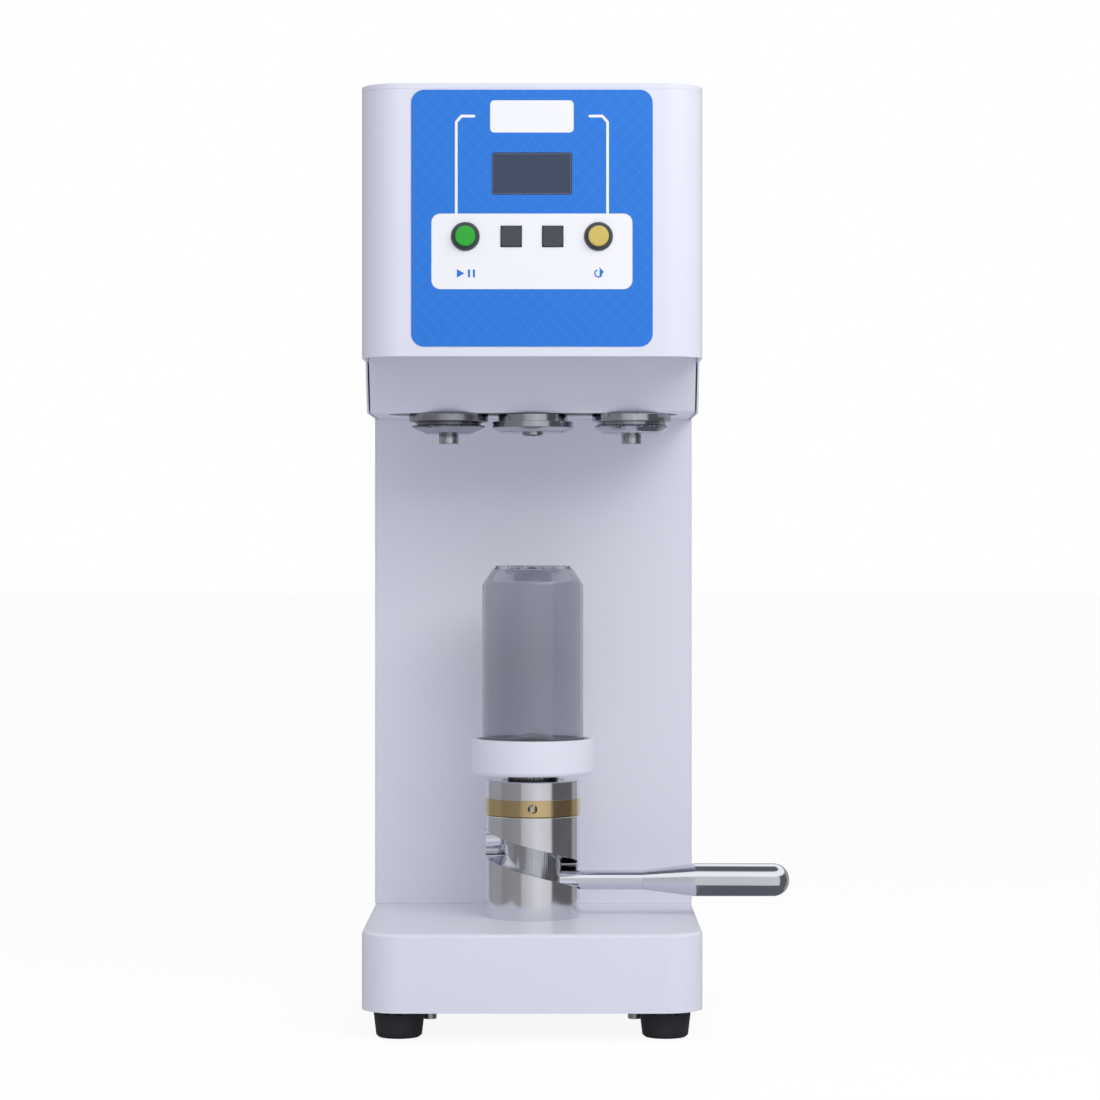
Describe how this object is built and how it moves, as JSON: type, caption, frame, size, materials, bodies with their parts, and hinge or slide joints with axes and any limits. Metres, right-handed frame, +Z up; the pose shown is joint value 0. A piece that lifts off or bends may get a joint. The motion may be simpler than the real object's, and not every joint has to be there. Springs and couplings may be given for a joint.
{
  "type": "can seamer",
  "caption": "Bench-top can seamer: white column and hood with control panel, chuck and two seaming rollers above a lever-raised can holder on a slotted lift barrel.",
  "frame": {"origin": "on the floor under the middle of the machine's bounding box, between the feet", "axes": "+X to the machine's right as its front is faced, +Y to its back, +Z up"},
  "size_m": [0.269, 0.2709, 0.584],
  "materials": {
    "white_paint": "gloss powder coat",
    "rubber": "matte",
    "zinc_steel": "satin",
    "chrome": "polished",
    "ground_steel": "ground",
    "brass": "turned",
    "tool_steel": "polished",
    "dull_steel": "matte",
    "holder_plastic": "gloss",
    "clear_can": "clear grey",
    "panel_blue": "printed film",
    "screen": "dark glass",
    "display_black": "matte",
    "board_green": "solder mask",
    "button_green": "gloss",
    "button_yellow": "gloss",
    "dark_plastic": "satin",
    "aluminium": "turned",
    "belt_rubber": "matte",
    "motor_paint": "satin",
    "cast_arm": "machined"
  },
  "bodies": {
    "machine": {"rubber_feet": "rubber", "base_plate": "zinc_steel", "base_cover": "white_paint", "base_screws": "zinc_steel", "barrel_pedestal": "zinc_steel", "barrel_bolts": "zinc_steel", "lift_barrel": "chrome", "column_front": "white_paint", "side_panel_left": "white_paint", "side_panel_right": "white_paint", "frame_plates": "zinc_steel", "throat_tray": "white_paint", "mechanism_plate": "zinc_steel", "head_cover": "white_paint", "top_cover": "white_paint", "rear_cover": "white_paint", "rear_cover_screws": "zinc_steel", "control_overlay": "panel_blue", "display_window": "screen", "display_module": "display_black", "control_board": "board_green", "start_bezel": "dark_plastic", "stop_bezel": "dark_plastic", "power_inlet": "dark_plastic", "spindle_housing": "ground_steel", "spindle_bearings": "ground_steel", "drive_belt": "belt_rubber", "drive_motor": "motor_paint", "arm_pivots": "ground_steel", "cam_gearmotor": "motor_paint"},
    "lift_platform": {"thrust_bearing": "ground_steel"},
    "lever": {"plunger": "ground_steel", "lock_ring": "brass", "ring_set_screw": "ground_steel", "lift_collar": "chrome", "lever_rod": "chrome", "lever_grip": "chrome"},
    "turntable": {"turntable_shaft": "ground_steel", "can_holder": "holder_plastic"},
    "loose_can": {"can": "clear_can"},
    "chuck_spindle": {"spindle": "ground_steel", "seaming_chuck": "tool_steel", "chuck_bolt": "tool_steel", "spindle_pulley": "aluminium"},
    "motor_rotor": {"motor_pulley": "aluminium", "motor_shaft": "ground_steel"},
    "cam": {"seaming_cam": "cast_arm"},
    "first_arm_group": {"first_arm": "cast_arm", "first_axle": "ground_steel", "first_follower": "ground_steel"},
    "second_arm_group": {"second_arm": "cast_arm", "second_axle": "ground_steel", "second_follower": "ground_steel"},
    "first_roller_body": {"first_roller": "dull_steel"},
    "second_roller_body": {"second_roller": "tool_steel"},
    "start_button_body": {"start_button": "button_green"},
    "stop_button_body": {"stop_button": "button_yellow"},
    "mode_key_body": {"mode_key": "dark_plastic"},
    "count_key_body": {"count_key": "dark_plastic"},
    "power_rocker": {"power_switch": "dark_plastic"}
  },
  "joints": [
    {"name": "platform_lift", "type": "slide", "parent": "machine", "child": "lift_platform", "axis": [0, 0, 1], "range_m": [0, 0.02228]},
    {"name": "lever_swing", "type": "hinge", "parent": "lift_platform", "child": "lever", "pos_m": [-0.0295, -0.0319, 0.0885], "axis": [0, 0, -1], "range_deg": [0, 165]},
    {"name": "turntable_spin", "type": "hinge", "parent": "lift_platform", "child": "turntable", "pos_m": [-0.0295, -0.0319, 0.1565], "axis": [0, 0, 1], "continuous": true},
    {"name": "can_lift_out", "type": "slide", "parent": "turntable", "child": "loose_can", "axis": [0, 0, 1], "range_m": [0, 0.055]},
    {"name": "chuck_spin", "type": "hinge", "parent": "machine", "child": "chuck_spindle", "pos_m": [-0.0295, -0.0319, 0.38], "axis": [0, 0, 1], "continuous": true},
    {"name": "motor_spin", "type": "hinge", "parent": "machine", "child": "motor_rotor", "pos_m": [-0.0295, 0.0921, 0.44], "axis": [0, 0, 1], "continuous": true},
    {"name": "cam_turn", "type": "hinge", "parent": "machine", "child": "cam", "pos_m": [-0.0295, 0.0301, 0.405], "axis": [0, 0, 1], "range_deg": [-22, 147]},
    {"name": "first_arm_swing", "type": "hinge", "parent": "machine", "child": "first_arm_group", "pos_m": [-0.0915, 0.0121, 0.397], "axis": [0, 0, 1], "range_deg": [-15, 2.3]},
    {"name": "second_arm_swing", "type": "hinge", "parent": "machine", "child": "second_arm_group", "pos_m": [0.0325, 0.0121, 0.397], "axis": [0, 0, 1], "range_deg": [-15, 2.3]},
    {"name": "first_roller_spin", "type": "hinge", "parent": "first_arm_group", "child": "first_roller_body", "pos_m": [-0.0833, -0.03113, 0.38], "axis": [0, 0, 1], "continuous": true},
    {"name": "second_roller_spin", "type": "hinge", "parent": "second_arm_group", "child": "second_roller_body", "pos_m": [0.0336, -0.03189, 0.38], "axis": [0, 0, 1], "continuous": true},
    {"name": "start_button_press", "type": "slide", "parent": "machine", "child": "start_button_body", "axis": [0, 1, 0], "range_m": [0, 0.0016], "stiffness_N_per_m": 400, "springref_m": -0.0008},
    {"name": "stop_button_press", "type": "slide", "parent": "machine", "child": "stop_button_body", "axis": [0, 1, 0], "range_m": [0, 0.0016], "stiffness_N_per_m": 400, "springref_m": -0.0008},
    {"name": "mode_key_press", "type": "slide", "parent": "machine", "child": "mode_key_body", "axis": [0, 1, 0], "range_m": [0, 0.0008], "stiffness_N_per_m": 300, "springref_m": -0.0008},
    {"name": "count_key_press", "type": "slide", "parent": "machine", "child": "count_key_body", "axis": [0, 1, 0], "range_m": [0, 0.0008], "stiffness_N_per_m": 300, "springref_m": -0.0008},
    {"name": "power_switch_rock", "type": "hinge", "parent": "machine", "child": "power_rocker", "pos_m": [-0.0295, 0.1316, 0.1158], "axis": [1, 0, 0], "range_deg": [-16, 0]}
  ],
  "couplings": [
    {"joint": "platform_lift", "follows": "lever_swing", "m_per_rad": 0.0077349},
    {"joint": "motor_spin", "follows": "chuck_spin", "ratio": 1.25},
    {"joint": "first_arm_swing", "follows": "cam_turn", "ratio": -0.10173},
    {"joint": "second_arm_swing", "follows": "cam_turn", "ratio": -0.10173}
  ]
}
